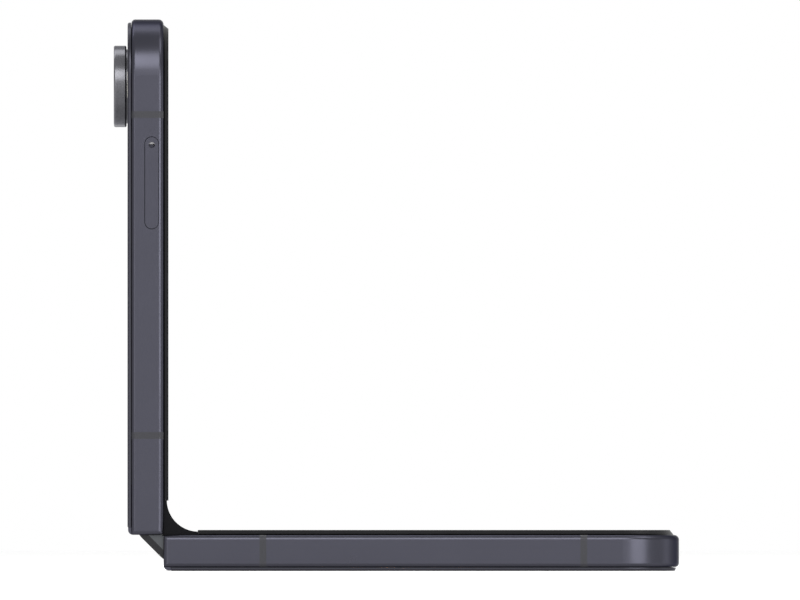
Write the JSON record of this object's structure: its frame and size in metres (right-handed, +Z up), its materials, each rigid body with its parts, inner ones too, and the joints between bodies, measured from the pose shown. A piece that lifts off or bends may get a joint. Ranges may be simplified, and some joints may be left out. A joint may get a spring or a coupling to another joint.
{
  "type": "foldable smartphone",
  "caption": "Foldable smartphone standing open at a right angle on a geared hinge, with display guards, card tray, keys and raised cameras.",
  "frame": {"origin": "centre of the lower half's back glass, the face it rests on", "axes": "+X from the hinge to the lower half's free end, +Y away from the card tray's side, +Z up, out of the lower half's display"},
  "size_m": [0.0913, 0.0756, 0.089],
  "materials": {
    "graphite_metal": "satin anodised",
    "band_plastic": "matt",
    "back_glass": "frosted",
    "rim_plastic": "matt",
    "display": "gloss",
    "display_film": "gloss",
    "guard_rubber": "matt",
    "steel": "brushed",
    "screw_steel": "gloss",
    "battery": "matt",
    "circuit_board": "satin",
    "black_plastic": "matt",
    "copper": "satin",
    "cap_metal": "satin",
    "spring_steel": "satin",
    "gear_steel": "satin",
    "flex_polyimide": "satin",
    "ring_metal": "turned",
    "lens_glass": "gloss",
    "flash_plastic": "frosted"
  },
  "bodies": {
    "lower_half": {"lower_frame": "graphite_metal", "lower_antenna_breaks": "band_plastic", "lower_back_glass": "back_glass", "lower_display_rim": "rim_plastic", "lower_display_panel": "display", "lower_wing_plate": "steel", "lower_hinge_arms": "steel", "lower_battery": "battery", "charging_board": "circuit_board", "charging_port": "steel", "loudspeaker": "black_plastic", "vibration_motor": "steel", "wireless_coil": "copper", "lower_screws": "screw_steel"},
    "spine": {"spine_cover": "graphite_metal", "spine_end_caps": "cap_metal", "hinge_brackets": "steel", "hinge_pins": "screw_steel", "disc_springs": "spring_steel", "display_fold": "display_film", "fold_guards": "guard_rubber", "hinge_flex_cable": "flex_polyimide"},
    "upper_half": {"upper_frame": "graphite_metal", "upper_antenna_breaks": "band_plastic", "upper_back_glass": "back_glass", "upper_display_rim": "rim_plastic", "upper_display_panel": "display", "upper_wing_plate": "steel", "upper_hinge_arms": "steel", "upper_battery": "battery", "main_board": "circuit_board", "camera_rings": "ring_metal", "camera_lenses": "lens_glass", "camera_modules": "black_plastic", "flash_lens": "flash_plastic", "selfie_camera": "lens_glass", "earpiece_speaker": "black_plastic", "cover_screen": "display", "card_reader": "steel", "key_switches": "flex_polyimide", "upper_screws": "screw_steel"},
    "lower_idler": {"lower_idler_gears": "gear_steel"},
    "upper_idler": {"upper_idler_gears": "gear_steel"},
    "card_tray": {"card_tray": "graphite_metal"},
    "side_key": {"side_key": "graphite_metal"},
    "volume_key": {"volume_key": "graphite_metal"}
  },
  "joints": [
    {"name": "hinge_lower", "type": "hinge", "parent": "lower_half", "child": "spine", "pos_m": [-0.03965, 0, 0.0048], "axis": [0, 1, 0], "range_deg": [-45, 45], "deforming": ["display_fold", "fold_guards", "hinge_flex_cable"]},
    {"name": "hinge_upper", "type": "hinge", "parent": "spine", "child": "upper_half", "pos_m": [-0.04262, 0, 0.00777], "axis": [0, 1, 0], "range_deg": [-45, 45]},
    {"name": "lower_idler_spin", "type": "hinge", "parent": "spine", "child": "lower_idler", "pos_m": [-0.04064, 0, 0.00579], "axis": [0, 1, 0], "range_deg": [-45, 45]},
    {"name": "upper_idler_spin", "type": "hinge", "parent": "spine", "child": "upper_idler", "pos_m": [-0.04163, 0, 0.00678], "axis": [0, 1, 0], "range_deg": [-45, 45]},
    {"name": "card_tray_slide", "type": "slide", "parent": "upper_half", "child": "card_tray", "axis": [0, -1, 0], "range_m": [0, 0.018]},
    {"name": "side_key_press", "type": "slide", "parent": "upper_half", "child": "side_key", "axis": [0, -1, 0], "range_m": [0, 0.00025], "stiffness_N_per_m": 6000, "springref_m": -0.00015},
    {"name": "volume_key_rock", "type": "hinge", "parent": "upper_half", "child": "volume_key", "pos_m": [-0.04446, 0.0352, 0.05997], "axis": [1, 0, 0], "range_deg": [-1.1, 1.1], "stiffness_Nm_per_rad": 0.5}
  ],
  "couplings": [
    {"joint": "hinge_upper", "follows": "hinge_lower", "ratio": 1},
    {"joint": "lower_idler_spin", "follows": "hinge_lower", "ratio": 1},
    {"joint": "upper_idler_spin", "follows": "hinge_lower", "ratio": -1}
  ]
}
